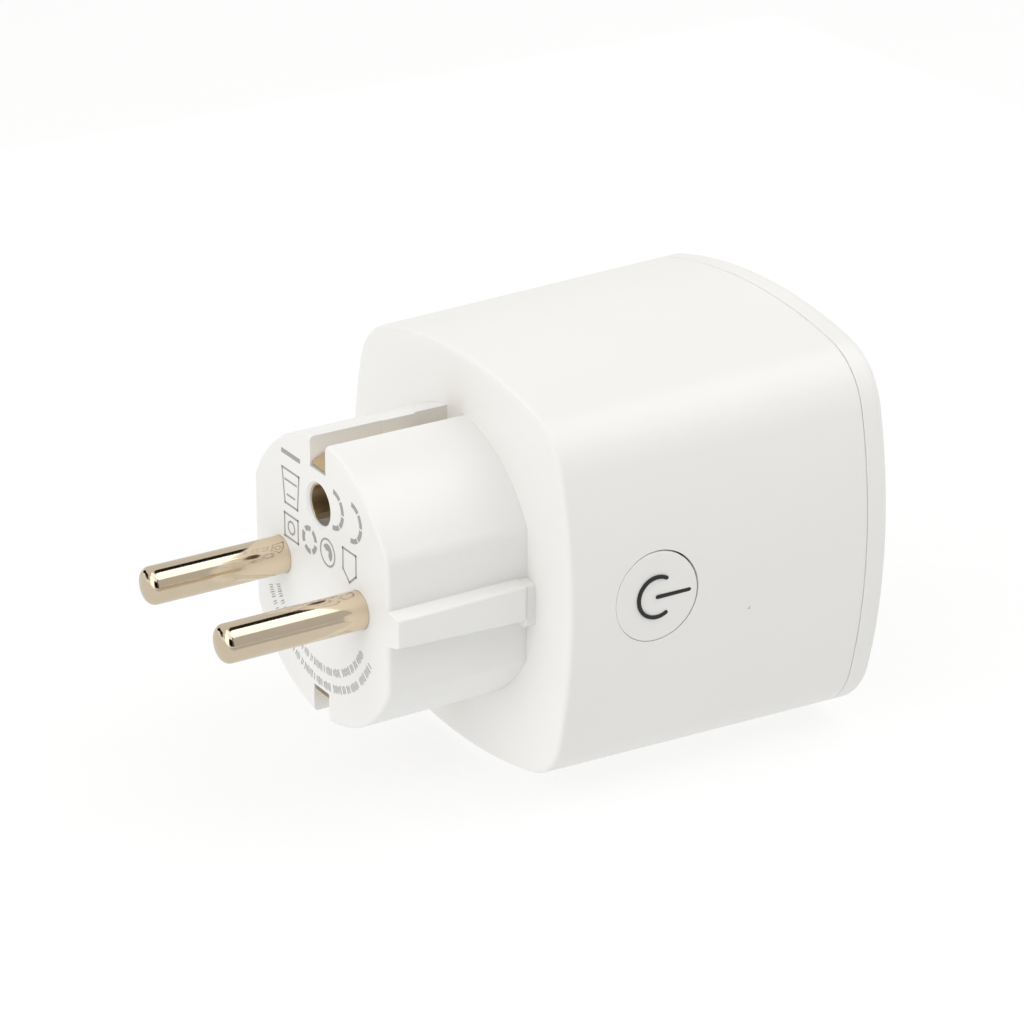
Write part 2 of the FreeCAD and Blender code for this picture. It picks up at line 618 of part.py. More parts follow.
def make_screw(radius, head, y, x, z):
    """A pan-head screw whose head seats at y[0] and whose tip is at y[1]."""
    into = math.copysign(1, y[1] - y[0])
    shank = Part.makeCylinder(radius, abs(y[1] - y[0]), vector(x, y[0], z), vector(0, into, 0))
    cap = Part.makeCylinder(head, 1.3, vector(x, y[0], z), vector(0, -into, 0))
    rim = [e for e in cap.Edges if abs(e.CenterOfMass.y - (y[0] - into * 1.3)) < 1e-6]
    cap = cap.makeFillet(0.5, rim)
    top = sorted((y[0] - into * 1.4, y[0] - into * 0.6))
    narrow, wide = 0.25, 1.1
    cross = [box((x - narrow, x + narrow), top, (z - wide, z + wide)),
             box((x - wide, x + wide), top, (z - narrow, z + narrow))]
    return fused(shank, cap).cut(group(cross))


def make_shutter_screws():
    y = (RETAINER_Y[0], FLOOR_BACK + 1.2)
    return group([make_screw(SHUTTER_SCREW_RADIUS, 1.7, y, x, z) for x, z in SHUTTER_SCREWS])


# Button and its switch


def power_symbol(x, slack=0.0):
    """An open ring and a bar that points along +Y, both with round ends, between the stations in x."""
    half = SYMBOL_STROKE / 2 - slack
    middle = SYMBOL_RADIUS - SYMBOL_STROKE / 2
    ring = peg(middle + half, x, BUTTON_Y, BUTTON_Z).cut(peg(middle - half, x, BUTTON_Y, BUTTON_Z))
    far = 6.0
    rise = far * math.tan(math.radians(SYMBOL_OPENING))
    corners = [(BUTTON_Y, BUTTON_Z), (BUTTON_Y + far, BUTTON_Z - rise), (BUTTON_Y + far, BUTTON_Z + rise)]
    wedge = section_block([(x[0] - 1, y, z) for y, z in corners], [(x[1] + 1, y, z) for y, z in corners])
    turn = math.radians(SYMBOL_OPENING)
    tips = [peg(half, x, BUTTON_Y + middle * math.cos(turn), BUTTON_Z + side * middle * math.sin(turn))
            for side in (-1, 1)]
    bar_y = [BUTTON_Y + end for end in SYMBOL_BAR]
    ends = [peg(half, x, y, BUTTON_Z) for y in bar_y]
    bar = fused(box(x, bar_y, (BUTTON_Z - half, BUTTON_Z + half)), *ends)
    return [fused(ring.cut(wedge), *tips), bar]


def make_button_cap():
    """A round cap flush with the crowned side, a skirt behind it and a flange that keeps it in."""
    disc = peg(BUTTON_RADIUS, (BUTTON_DISC_BACK, 30), BUTTON_Y, BUTTON_Z)
    disc = disc.common(body_block((WALL_Y, SEAM_Y), 0))
    rim = [e for e in disc.Edges if e.CenterOfMass.x > BUTTON_DISC_BACK + 1 and e.Length > BUTTON_RADIUS]
    disc = disc.makeFillet(0.15, rim).cut(group(power_symbol((BUTTON_DISC_BACK - 1, 30))))
    skirt = peg(BUTTON_RADIUS, (BUTTON_BACK, BUTTON_DISC_BACK), BUTTON_Y, BUTTON_Z)
    flange = peg(BUTTON_FLANGE, (BUTTON_BACK, FLANGE_FRONT), BUTTON_Y, BUTTON_Z)
    hollow = peg(BUTTON_RADIUS - 1.1, (BUTTON_BACK - 1, BUTTON_DISC_BACK), BUTTON_Y, BUTTON_Z)
    return fused(disc, fused(skirt, flange).cut(hollow))


def make_button_diffuser():
    """The smoked light guide: a disc that presses the switch's plunger and fills the symbol from behind."""
    disc = peg(4.6, (24.2, BUTTON_DISC_BACK), BUTTON_Y, BUTTON_Z)
    nose = peg(1.9, (23.85, BUTTON_DISC_BACK), BUTTON_Y, BUTTON_Z)
    return fused(disc, nose, *power_symbol((BUTTON_DISC_BACK, SYMBOL_FACE), SYMBOL_SLACK))


def make_switch_body():
    base = box((CONTROL_X[1], 22.8), (BUTTON_Y - 3, BUTTON_Y + 3), (BUTTON_Z - 3, BUTTON_Z + 3))
    return base.cut(peg(2.6, (21.0, 23), BUTTON_Y, BUTTON_Z))


def make_switch_cover():
    plate = box((22.8, 23.1), (BUTTON_Y - 3, BUTTON_Y + 3), (BUTTON_Z - 3, BUTTON_Z + 3))
    return plate.cut(peg(1.78, (22, 24), BUTTON_Y, BUTTON_Z))


def make_switch_plunger():
    return fused(peg(1.7, (22.2, 23.8), BUTTON_Y, BUTTON_Z), peg(2.35, (22.2, 22.7), BUTTON_Y, BUTTON_Z))


def make_switch_dome():
    """The snap dome under the plunger: a shallow spherical leaf."""
    rise, rim, sheet = 0.45, 2.3, 0.12
    radius = (rim ** 2 + rise ** 2) / (2 * rise)
    centre = vector(21.02 + rise - radius, BUTTON_Y, BUTTON_Z)
    bowl = Part.makeSphere(radius, centre).cut(Part.makeSphere(radius - sheet, centre))
    return bowl.common(peg(rim, (21.02, 23), BUTTON_Y, BUTTON_Z))


def make_status_led():
    y, z = BUTTON_Y + 5.2, BUTTON_Z
    base = box((CONTROL_X[1], CONTROL_X[1] + 0.5), (y - 0.8, y + 0.8), (z - 1.4, z + 1.4))
    lens = box((CONTROL_X[1] + 0.5, CONTROL_X[1] + 1.0), (y - 0.7, y + 0.7), (z - 0.9, z + 0.9))
    return fused(base, lens)


# Boards and what stands on them


def pair_leads(place):
    """The two lead positions of a component given as (x, z, spacing along X)."""
    x, z, spacing = place
    return [(x - spacing / 2, z), (x + spacing / 2, z)]


def leaded_places():
    """Every round lead through the main board, as (x, z, radius)."""
    parts = (BULK_CAP, OUTPUT_CAP, CHOKE, SAFETY_CAP, VARISTOR, FUSE)
    places = [(x, z, LEAD_RADIUS) for part in parts for x, z in pair_leads(part)]
    places += [(x, z, 0.5) for x, z in RELAY_PINS]
    places += [(HEADER_X, z, 0.36) for z in HEADER_Z]
    places += [(x, 0.0, PIN_TAIL_RADIUS) for x in (-PIN_OFFSET, PIN_OFFSET)]
    return places


def blade_slots():
    """The slots in the main board for the socket contacts' feet and the relay's fixed blade."""
    slots = [box((x - 0.5, x + 0.5), (20, 30), (z - 0.5, z + 0.5))
             for x in (-PIN_OFFSET, PIN_OFFSET) for z in CONTACT_FEET]
    slots.append(box((-4.3, -3.5), (20, 30), (RELAY_MID_Z - 1.1, RELAY_MID_Z + 1.1)))
    return slots


def make_main_board():
    outline = rounded_square(BOARD_HALF, BACK_CROWN, 5.0, BOARD_BACK)
    board = Part.Face(outline).extrude(vector(0, BOARD_FRONT - BOARD_BACK, 0))
    holes = [rod(r + LEAD_HOLE_GAP, (20, 30), x, z) for x, z, r in leaded_places()]
    holes += [rod(SCREW_RADIUS + 0.1, (20, 30), x, z) for x, z in SCREW_PLACES]
    return board.cut(group(holes)).cut(group(blade_slots()))


def make_board_screws():
    y = (BOARD_FRONT, FLANGE[0] + 0.6)
    return group([make_screw(SCREW_RADIUS, SCREW_HEAD, y, x, z) for x, z in SCREW_PLACES])


def make_solder_joints():
    """A fillet of solder round each lead, on the side away from its component."""
    joints = []
    front_side = {round(x, 3) for x, _ in pair_leads(BULK_CAP)}
    for x, z, r in leaded_places():
        outward = 1 if round(x, 3) in front_side and z == BULK_CAP[1] else -1
        start = BOARD_FRONT if outward > 0 else BOARD_BACK
        cone = Part.makeCone(r + 0.7, r + 0.15, 0.7, vector(x, start, z), vector(0, outward, 0))
        joints.append(cone.cut(rod(r, (20, 30), x, z)))
    return group(joints)


def make_control_board():
    board = box(CONTROL_X, CONTROL_Y, (-CONTROL_HALF, CONTROL_HALF))
    holes = [peg(0.46, (18, 22), 28.6, z) for z in HEADER_Z]
    return board.cut(group(holes))


def header_pin(z):
    """A square-bend pin from the main board to the control board."""
    path = [(HEADER_X, LEAD_END), (HEADER_X, 28.6), (CONTROL_X[1] + 0.6, 28.6)]
    return strip_xy(path, 0.5, 0.4, (z - 0.25, z + 0.25))


def make_header_pins():
    return group([header_pin(z) for z in HEADER_Z])


def make_header_block():
    z = (HEADER_Z[0] - 1.27, HEADER_Z[-1] + 1.27)
    block = box((HEADER_X - 1.25, CONTROL_X[0] - 0.05), (BOARD_FRONT, 29.4), z)
    return block.cut(make_header_pins())


def make_wifi_board():
    return box((18.6, CONTROL_X[0]), (30.5, 45.0), (-14.0, 3.0))


def make_wifi_shield():
    """A folded metal can, open towards its board."""
    can = box((16.3, 18.6), (31.2, 40.4), (-13.2, 2.2))
    can = can.makeFillet(0.4, [e for e in can.Edges if e.CenterOfMass.x < 18.5])
    return can.cut(box((16.6, 19), (31.5, 40.1), (-12.9, 1.9)))


def wire_legs(place, y):
    return [rod(LEAD_RADIUS, y, x, z) for x, z in pair_leads(place)]


def can_capacitor(place, radius, y, legs):
    """An electrolytic can between y[0] and y[1], with a crimped groove near its leads."""
    x, z, _ = place
    lead_side, far = y
    can = rod(radius, sorted(y), x, z)
    can = can.makeFillet(0.5, [e for e in can.Edges if isinstance(e.Curve, Part.Circle)])
    into = math.copysign(1, far - lead_side)
    groove = Part.makeTorus(radius + 0.25, 0.55, vector(x, lead_side + into * 1.9, z), vector(0, 1, 0))
    return fused(can.cut(groove), *wire_legs(place, legs))


def make_bulk_capacitor():
    return can_capacitor(BULK_CAP, 4.9, (22.4, 6.5), (22.0, BOARD_FRONT + 1.0))


def make_output_capacitor():
    return can_capacitor(OUTPUT_CAP, 3.1, (26.9, 37.9), (LEAD_END, 27.5))


def make_choke_core():
    """A drum core: two flanges on a hub, with its leads."""
    x, z, _ = CHOKE
    flanges = [rod(4.3, (27.0, 28.2), x, z), rod(4.3, (36.4, 37.6), x, z)]
    return fused(rod(2.0, (27.0, 37.6), x, z), *flanges, *wire_legs(CHOKE, (LEAD_END, 27.5)))


def make_choke_winding():
    x, z, _ = CHOKE
    return tube(3.8, 2.0, (28.2, 36.4), x, z)


def make_safety_capacitor():
    x, z, _ = SAFETY_CAP
    case = box((x - 6.5, x + 6.5), (26.9, 38.4), (z - 2.9, z + 2.9))
    case = case.makeFillet(0.4, case.Edges)
    return fused(case, *wire_legs(SAFETY_CAP, (LEAD_END, 27.5)))


def make_varistor():
    x, z, _ = VARISTOR
    disc = post(4.8, x, 33.4, (z - 1.9, z + 1.9))
    disc = disc.makeFillet(1.2, [e for e in disc.Edges if isinstance(e.Curve, Part.Circle)])
    return fused(disc, *wire_legs(VARISTOR, (LEAD_END, 30.5)))


def make_fusible_resistor():
    """An axial resistor lying above the board, its leads bent down at both ends."""
    x, z, spacing = FUSE
    body = fused(peg(1.5, (x - 3.3, x + 3.3), 29.0, z), peg(1.75, (x - 3.3, x - 2.0), 29.0, z),
                 peg(1.75, (x + 2.0, x + 3.3), 29.0, z))
    lead = [(x - spacing / 2, LEAD_END), (x - spacing / 2, 29.0), (x + spacing / 2, 29.0),
            (x + spacing / 2, LEAD_END)]
    return fused(body, strip_xy(lead, 0.5, 0.7, (z - 0.25, z + 0.25)))


def chip(x, z, size, height, legs, pitch):
    """A surface-mount package: a block with a row of gull-wing legs on its two long sides."""
    half_x, half_z = size[0] / 2, size[1] / 2
    y = (BOARD_FRONT + 0.1, BOARD_FRONT + height)
    package = box((x - half_x, x + half_x), y, (z - half_z, z + half_z))
    feet = []
    for i in range(legs):
        leg_x = x + (i - (legs - 1) / 2) * pitch
        feet.append(box((leg_x - 0.2, leg_x + 0.2), (BOARD_FRONT, BOARD_FRONT + 0.2),
                        (z - half_z - 0.9, z + half_z + 0.9)))
    return fused(package, *feet)


def make_bridge_rectifier():
    return chip(0.0, -10.8, (4.7, 3.8), 2.4, 2, 2.6)


def make_converter_chip():
    return chip(7.6, -9.0, (4.9, 3.9), 1.6, 4, 1.27)


def make_metering_chip():
    return chip(14.0, -12.2, (4.9, 3.9), 1.6, 4, 1.27)


def make_voltage_regulator():
    return chip(0.0, 7.0, (3.0, 1.6), 1.2, 3, 0.95)


def make_shunt_resistor():
    """A low-ohm metal strip between two welded pads, in the line conductor."""
    strip = [(3.0, 26.9), (4.2, 26.9), (4.6, 27.5), (6.0, 27.5), (6.4, 26.9), (7.6, 26.9)]
    return strip_xy(strip, 0.5, 0.3, (3.4, 6.4))


def make_chip_resistors():
    """Small passives in rows between the larger parts."""
    rows = [(-6.0, -16.2, 4), (12.5, -7.0, 3), (-1.6, 1.0, 3)]
    solids = []
    for x0, z, count in rows:
        for i in range(count):
            x = x0 + 1.6 * i
            solids.append(box((x - 0.4, x + 0.4), (BOARD_FRONT, BOARD_FRONT + 0.45), (z - 0.8, z + 0.8)))
    return group(solids)


# Relay


def make_relay_base():
    base = box(RELAY_X, (BOARD_FRONT, BOARD_FRONT + RELAY_BASE), RELAY_Z)
    holes = [rod(0.5, (20, 30), x, z) for x, z in RELAY_PINS]
    holes.append(box((-4.2, -3.6), (20, 30), (RELAY_MID_Z - 1, RELAY_MID_Z + 1)))
    return base.cut(group(holes))


def make_relay_case():
    low = BOARD_FRONT + RELAY_BASE
    case = box(RELAY_X, (low, RELAY_TOP), RELAY_Z)
    case = case.makeFillet(0.6, [e for e in case.Edges if e.CenterOfMass.y > low + 0.1])
    skin = RELAY_SKIN
    hollow = box((RELAY_X[0] + skin, RELAY_X[1] - skin), (low - 1, RELAY_TOP - skin),
                 (RELAY_Z[0] + skin, RELAY_Z[1] - skin))
    return case.cut(hollow)


def make_relay_terminals():
    return group([rod(0.5, (LEAD_END, BOARD_FRONT + RELAY_BASE), x, z) for x, z in RELAY_PINS])


def make_relay_bobbin():
    flanges = [rod(4.6, (COIL_Y[0], COIL_Y[0] + 0.7), COIL_X, RELAY_MID_Z),
               rod(4.6, (COIL_Y[1] - 0.7, COIL_Y[1]), COIL_X, RELAY_MID_Z)]
    spool = fused(rod(2.5, COIL_Y, COIL_X, RELAY_MID_Z), *flanges)
    return spool.cut(rod(1.8, (COIL_Y[0] - 1, COIL_Y[1] + 1), COIL_X, RELAY_MID_Z))


def make_relay_winding():
    return tube(4.3, 2.5, (COIL_Y[0] + 0.7, COIL_Y[1] - 0.7), COIL_X, RELAY_MID_Z)


def make_relay_core():
    core = rod(1.8, (COIL_Y[0], COIL_Y[1]), COIL_X, RELAY_MID_Z)
    return fused(core, rod(3.2, (COIL_Y[1], POLE_Y), COIL_X, RELAY_MID_Z))


def make_relay_yoke():
    """An L of soft iron: a foot under the coil and a leg up to the armature's pivot edge."""
    z = (RELAY_MID_Z - 3.6, RELAY_MID_Z + 3.6)
    foot = box((COIL_X - 2.5, YOKE_X[1]), (BOARD_FRONT + RELAY_BASE, COIL_Y[0]), z)
    leg = box(YOKE_X, (BOARD_FRONT + RELAY_BASE, POLE_Y), z)
    return fused(foot, leg)


def make_relay_armature():
    plate = box((COIL_X - 3.4, -6.8), ARMATURE_Y, (RELAY_MID_Z - 3.6, RELAY_MID_Z + 3.6))
    return plate.makeFillet(0.25, [e for e in plate.Edges if abs(e.CenterOfMass.y - ARMATURE_Y[1]) < 0.01])


def make_relay_contact_arm():
    """The leaf on the armature that carries the moving contact down beside the yoke."""
    top = ARMATURE_Y[0] + 0.5
    path = [(-6.8, top), (-6.1, top), (-6.1, CONTACT_Y - 1.6)]
    leaf = strip_xy(path, 0.3, 0.3, (RELAY_MID_Z - 2, RELAY_MID_Z + 2))
    return fused(leaf, peg(1.1, (-5.95, -5.3), CONTACT_Y, RELAY_MID_Z))


def make_relay_fixed_contact():
    blade = box((-4.2, -3.6), (LEAD_END, CONTACT_Y + 1.8), (RELAY_MID_Z - 1, RELAY_MID_Z + 1))
    return fused(blade, peg(1.1, (-4.8, -4.2), CONTACT_Y, RELAY_MID_Z))


NODES = {
    "main_shell": make_main_shell,
    "socket_cover": make_socket_cover,
    "plug_boss": make_plug_boss,
    "line_pin": lambda: make_pin(PIN_OFFSET),
    "neutral_pin": lambda: make_pin(-PIN_OFFSET),
    "earth_pin_sleeve": make_earth_sleeve,
    "earth_strip_top": make_earth_strip,
    "earth_strip_bottom": lambda: flipped(make_earth_strip()),
    "earth_bridge": make_earth_bridge,
    "earth_clip_top": make_earth_clip,
    "earth_clip_bottom": lambda: flipped(make_earth_clip()),
    "earth_rivets": make_earth_rivets,
    "line_contact": lambda: make_socket_contact(PIN_OFFSET),
    "neutral_contact": lambda: make_socket_contact(-PIN_OFFSET),
    "shutter_slider": make_shutter_slider,
    "shutter_spring": make_shutter_spring,
    "shutter_retainer": make_shutter_retainer,
    "shutter_screws": make_shutter_screws,
    "button_cap": make_button_cap,
    "button_diffuser": make_button_diffuser,
    "switch_body": make_switch_body,
    "switch_cover": make_switch_cover,
    "switch_plunger": make_switch_plunger,
    "switch_dome": make_switch_dome,
    "status_led": make_status_led,
    "main_board": make_main_board,
    "board_screws": make_board_screws,
    "solder_joints": make_solder_joints,
    "control_board": make_control_board,
    "header_pins": make_header_pins,
    "header_block": make_header_block,
    "wifi_board": make_wifi_board,
    "wifi_shield": make_wifi_shield,
    "bulk_capacitor": make_bulk_capacitor,
    "output_capacitor": make_output_capacitor,
    "choke_core": make_choke_core,
    "choke_winding": make_choke_winding,
    "safety_capacitor": make_safety_capacitor,
    "varistor": make_varistor,
    "fusible_resistor": make_fusible_resistor,
    "bridge_rectifier": make_bridge_rectifier,
    "converter_chip": make_converter_chip,
    "metering_chip": make_metering_chip,
    "voltage_regulator": make_voltage_regulator,
    "shunt_resistor": make_shunt_resistor,
    "chip_resistors": make_chip_resistors,
    "relay_base": make_relay_base,
    "relay_case": make_relay_case,
    "relay_terminals": make_relay_terminals,
    "relay_bobbin": make_relay_bobbin,
    "relay_winding": make_relay_winding,
    "relay_core": make_relay_core,
    "relay_yoke": make_relay_yoke,
    "relay_armature": make_relay_armature,
    "relay_contact_arm": make_relay_contact_arm,
    "relay_fixed_contact": make_relay_fixed_contact,
}

os.makedirs("parts", exist_ok=True)
for name, make in NODES.items():
    shape = make()
    shape.exportStep("parts/" + name + ".step")
    print(name, len(shape.Solids), round(shape.Volume, 2), shape.isValid())
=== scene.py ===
import bpy
import math
from mathutils import Matrix, Vector


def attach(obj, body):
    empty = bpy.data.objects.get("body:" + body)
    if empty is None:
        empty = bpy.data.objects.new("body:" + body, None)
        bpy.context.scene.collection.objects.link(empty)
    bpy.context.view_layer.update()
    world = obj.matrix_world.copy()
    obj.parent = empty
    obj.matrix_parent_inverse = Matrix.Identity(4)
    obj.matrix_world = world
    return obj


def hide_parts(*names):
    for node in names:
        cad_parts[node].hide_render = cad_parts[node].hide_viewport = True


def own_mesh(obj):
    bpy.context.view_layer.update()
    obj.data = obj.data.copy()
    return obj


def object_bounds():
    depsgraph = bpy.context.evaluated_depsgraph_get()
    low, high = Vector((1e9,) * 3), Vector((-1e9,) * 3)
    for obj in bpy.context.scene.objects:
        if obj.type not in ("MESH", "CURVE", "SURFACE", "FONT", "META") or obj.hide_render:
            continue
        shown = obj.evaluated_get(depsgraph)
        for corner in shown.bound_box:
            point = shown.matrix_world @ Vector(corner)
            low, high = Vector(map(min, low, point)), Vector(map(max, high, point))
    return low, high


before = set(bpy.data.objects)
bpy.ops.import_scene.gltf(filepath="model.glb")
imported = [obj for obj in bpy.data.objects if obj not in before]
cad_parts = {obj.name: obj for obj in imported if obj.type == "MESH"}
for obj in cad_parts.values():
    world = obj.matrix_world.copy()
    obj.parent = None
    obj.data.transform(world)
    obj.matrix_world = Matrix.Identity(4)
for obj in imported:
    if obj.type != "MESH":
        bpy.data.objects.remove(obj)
cad_low, cad_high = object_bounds()

# A plug-in power meter. The origin is the centre of the plug's face, the pins point along -Y, the socket
# opens along +Y, the button is on the +X side and +Z is up. Lengths are in metres; MM turns millimetres
# into metres.
MM = 0.001

# Camera: where it stands around the point it was aimed at, and the lens.
AIM = Vector((0, 30 * MM, 0))
AZIMUTH = math.radians(57.763)
ELEVATION = math.radians(23.491)
ROLL = math.radians(0.292)
DISTANCE = 458.735 * MM
ASIDE = (-2.226 * MM, 2.118 * MM)
LENS = 129.5

# The wave texture repeats once in 2 pi / 20 of its own units, so a band is scaled by the inverse.
WAVE_STEP = 20 / (2 * math.pi)

# Half the width of the floor's sheet, and how far the reflection cards on it lie above it.
FLOOR_HALF = 6000 * MM
CARD_LIFT = 0.5 * MM

# A pin's side mirrors to the camera directions with the first of these along +Y and the second across it.
MIRROR_ALONG, MIRROR_ACROSS = 0.489, 0.872

# Printed marks on the plug's face: the ink's thickness and the width of its lines.
INK = 0.02 * MM
LINE = 0.27 * MM


# Materials


class Surface:
    """A procedural material: one Principled shader and short calls for the nodes that feed it."""

    def __init__(self, name, **settings):
        self.material = bpy.data.materials.new(name)
        self.material.use_nodes = True
        self.nodes = self.material.node_tree.nodes
        self.shader = self.nodes["Principled BSDF"]
        for socket, value in settings.items():
            self.shader.inputs[socket.replace("_", " ")].default_value = value
        self.place = self.nodes.new("ShaderNodeTexCoord").outputs["Object"]
        self.normal = None

    def link(self, source, target):
        self.material.node_tree.links.new(source, target)

    def scaled(self, size, stretch, shift=0.0):
        """The object's own coordinates, scaled so that a feature is about size metres across, and moved
        by shift so that two patterns of one material differ."""
        mapping = self.nodes.new("ShaderNodeMapping")
        mapping.inputs["Scale"].default_value = [s / size for s in stretch]
        mapping.inputs["Location"].default_value = (shift, shift * 1.7, shift * 0.6)
        self.link(self.place, mapping.inputs["Vector"])
        return mapping.outputs["Vector"]

    def noise(self, size, detail, stretch=(1, 1, 1), shift=0.0):
        """Smooth noise about size metres across, from 0 to 1."""
        node = self.nodes.new("ShaderNodeTexNoise")
        node.inputs["Scale"].default_value = 1.0
        node.inputs["Detail"].default_value = detail
        self.link(self.scaled(size, stretch, shift), node.inputs["Vector"])
        return node.outputs["Fac"]

    def cell_edges(self, size, stretch):
        """Distance to the nearest edge of a pattern of cells about size metres across."""
        node = self.nodes.new("ShaderNodeTexVoronoi")
        node.feature = "DISTANCE_TO_EDGE"
        node.inputs["Scale"].default_value = 1.0
        self.link(self.scaled(size, stretch), node.inputs["Vector"])
        return node.outputs["Distance"]

    def bands(self, pitch, axis, distortion=0.0):
        """Even bands across an axis, one every pitch metres."""
        node = self.nodes.new("ShaderNodeTexWave")
        node.bands_direction = axis
        node.inputs["Scale"].default_value = 1.0
        node.inputs["Distortion"].default_value = distortion
        self.link(self.scaled(pitch * WAVE_STEP, (1, 1, 1)), node.inputs["Vector"])
        return node.outputs["Fac"]

    def ramp(self, source, low, high):
        """source stretched so that low becomes 0 and high becomes 1, held within that range."""
        node = self.nodes.new("ShaderNodeMapRange")
        node.inputs["From Min"].default_value = low
        node.inputs["From Max"].default_value = high
        self.link(source, node.inputs["Value"])
        return node.outputs["Result"]

    def colour(self, factor, low, high):
        """The shader's colour, from low to high with the factor."""
        node = self.nodes.new("ShaderNodeMix")
        node.data_type = "RGBA"
        self.link(factor, node.inputs["Factor"])
        node.inputs[6].default_value, node.inputs[7].default_value = (*low, 1), (*high, 1)
        self.link(node.outputs[2], self.shader.inputs["Base Color"])

    def vary(self, socket, factor, low, high):
        """One of the shader's own numbers, from low to high with the factor."""
        node = self.nodes.new("ShaderNodeMapRange")
        node.inputs["To Min"].default_value = low
        node.inputs["To Max"].default_value = high
        self.link(factor, node.inputs["Value"])
        self.link(node.outputs["Result"], self.shader.inputs[socket])

    def bump(self, height, depth):
        """Adds relief of depth metres; several calls add up."""
        node = self.nodes.new("ShaderNodeBump")
        node.inputs["Distance"].default_value = depth
        self.link(height, node.inputs["Height"])
        if self.normal is not None:
            self.link(self.normal, node.inputs["Normal"])
        self.normal = node.outputs["Normal"]
        self.link(self.normal, self.shader.inputs["Normal"])


def moulded_plastic(name, low, high, rough, grain, depth):
    """Moulded plastic: a very fine eroded grain, a faint cloudiness and slow changes of gloss."""
    surface = Surface(name)
    surface.colour(surface.noise(14 * MM, 3), low, high)
    surface.vary("Roughness", surface.noise(6 * MM, 4, shift=3.1), rough - 0.04, rough + 0.05)
    surface.bump(surface.noise(grain, 3, shift=1.3), depth)
    surface.bump(surface.noise(5 * MM, 1, shift=7.9), 0.004 * MM)
    return surface.material


def drawn_metal(name, low, high, rough, along=(1, 0.04, 1)):
    """Metal with fine drawing lines along one axis, small stains and worn patches."""
    surface = Surface(name, Metallic=1.0)
    surface.colour(surface.noise(2.5 * MM, 4), low, high)
    worn = surface.noise(1.4 * MM, 4, stretch=along, shift=5.0)
    surface.vary("Roughness", worn, rough * 0.75, rough * 1.35)
    surface.bump(surface.noise(0.12 * MM, 3, stretch=along), 0.0006 * MM)
    return surface.material


def epoxy(name, low, high, rough):
    """Cast or dipped epoxy: glossy, with slow dimples and a fine grain."""
    surface = Surface(name)
    surface.colour(surface.noise(1.2 * MM, 3), low, high)
    surface.vary("Roughness", surface.noise(0.7 * MM, 3, shift=2.0), rough - 0.06, rough + 0.08)
    surface.bump(surface.noise(0.9 * MM, 2, shift=4.0), 0.02 * MM)
    return surface.material


def circuit_board(name):
    """Green solder mask, paler where it lies on copper and darker along the gaps between the tracks."""
    surface = Surface(name)
    tracks = surface.ramp(surface.cell_edges(3.2 * MM, (1, 0.02, 1)), 0.05, 0.09)
    surface.colour(tracks, (0.010, 0.115, 0.045), (0.018, 0.185, 0.080))
    surface.vary("Roughness", surface.noise(1.5 * MM, 3), 0.25, 0.42)
    surface.bump(tracks, 0.03 * MM)
    surface.bump(surface.noise(0.25 * MM, 2), 0.003 * MM)
    return surface.material


def winding(name):
    """Enamelled copper wire: one rounded band for each turn."""
    surface = Surface(name, Metallic=1.0)
    turns = surface.bands(0.25 * MM, "Y", 0.4)
    surface.colour(surface.noise(1.8 * MM, 3), (0.45, 0.16, 0.06), (0.72, 0.30, 0.13))
    surface.vary("Roughness", surface.noise(0.8 * MM, 2), 0.22, 0.38)
    surface.bump(turns, 0.06 * MM)
    return surface.material


def capacitor_sleeve(name):
    """Dark shrink sleeve with a pale stripe down one side and faint wrinkles."""
    surface = Surface(name, Coat_Weight=0.3)
    stripe = surface.ramp(surface.bands(9 * MM, "X"), 0.93, 0.96)
    surface.colour(stripe, (0.012, 0.014, 0.020), (0.42, 0.44, 0.47))
    surface.vary("Roughness", surface.noise(0.8 * MM, 3), 0.28, 0.45)
    surface.bump(surface.noise(1.6 * MM, 3, stretch=(1, 3, 1)), 0.03 * MM)
    return surface.material


def colour_coded(name):
    """A resistor's glazed body with coloured bands round it."""
    surface = Surface(name)
    bands = surface.ramp(surface.bands(1.5 * MM, "X"), 0.72, 0.80)
    surface.colour(bands, (0.055, 0.25, 0.10), (0.30, 0.09, 0.02))
    surface.vary("Roughness", surface.noise(0.6 * MM, 2), 0.30, 0.45)
    surface.bump(surface.noise(0.5 * MM, 2), 0.01 * MM)
    return surface.material


def clear_resin(name, tint, clarity):
    """Moulded resin that lets some light through, slightly uneven in tint and gloss."""
    surface = Surface(name, IOR=1.49, Transmission_Weight=clarity)
    surface.colour(surface.noise(1.1 * MM, 2), tint, tuple(min(1, c * 1.15) for c in tint))
    surface.vary("Roughness", surface.noise(0.8 * MM, 2, shift=2.0), 0.28, 0.40)
    surface.bump(surface.noise(0.5 * MM, 2), 0.004 * MM)
    return surface.material


def ink(name):
    """Pad-printed grey ink, slightly uneven where the pad lifted."""
    surface = Surface(name)
    surface.colour(surface.noise(0.25 * MM, 3), (0.30, 0.30, 0.295), (0.42, 0.42, 0.415))
    surface.vary("Roughness", surface.noise(0.4 * MM, 2), 0.45, 0.65)
    surface.bump(surface.noise(0.12 * MM, 2), 0.003 * MM)
    return surface.material


def floor_paper(name):
    """White background paper with a soft tooth, lit through from below so that shadows on it stay faint."""
    surface = Surface(name, Emission_Color=(1, 1, 1, 1), Emission_Strength=0.73)
    surface.colour(surface.noise(250 * MM, 3), (0.22, 0.22, 0.218), (0.25, 0.25, 0.248))
    surface.vary("Roughness", surface.noise(20 * MM, 2), 0.8, 0.95)
    surface.bump(surface.noise(1.0 * MM, 3), 0.02 * MM)
    return surface.material


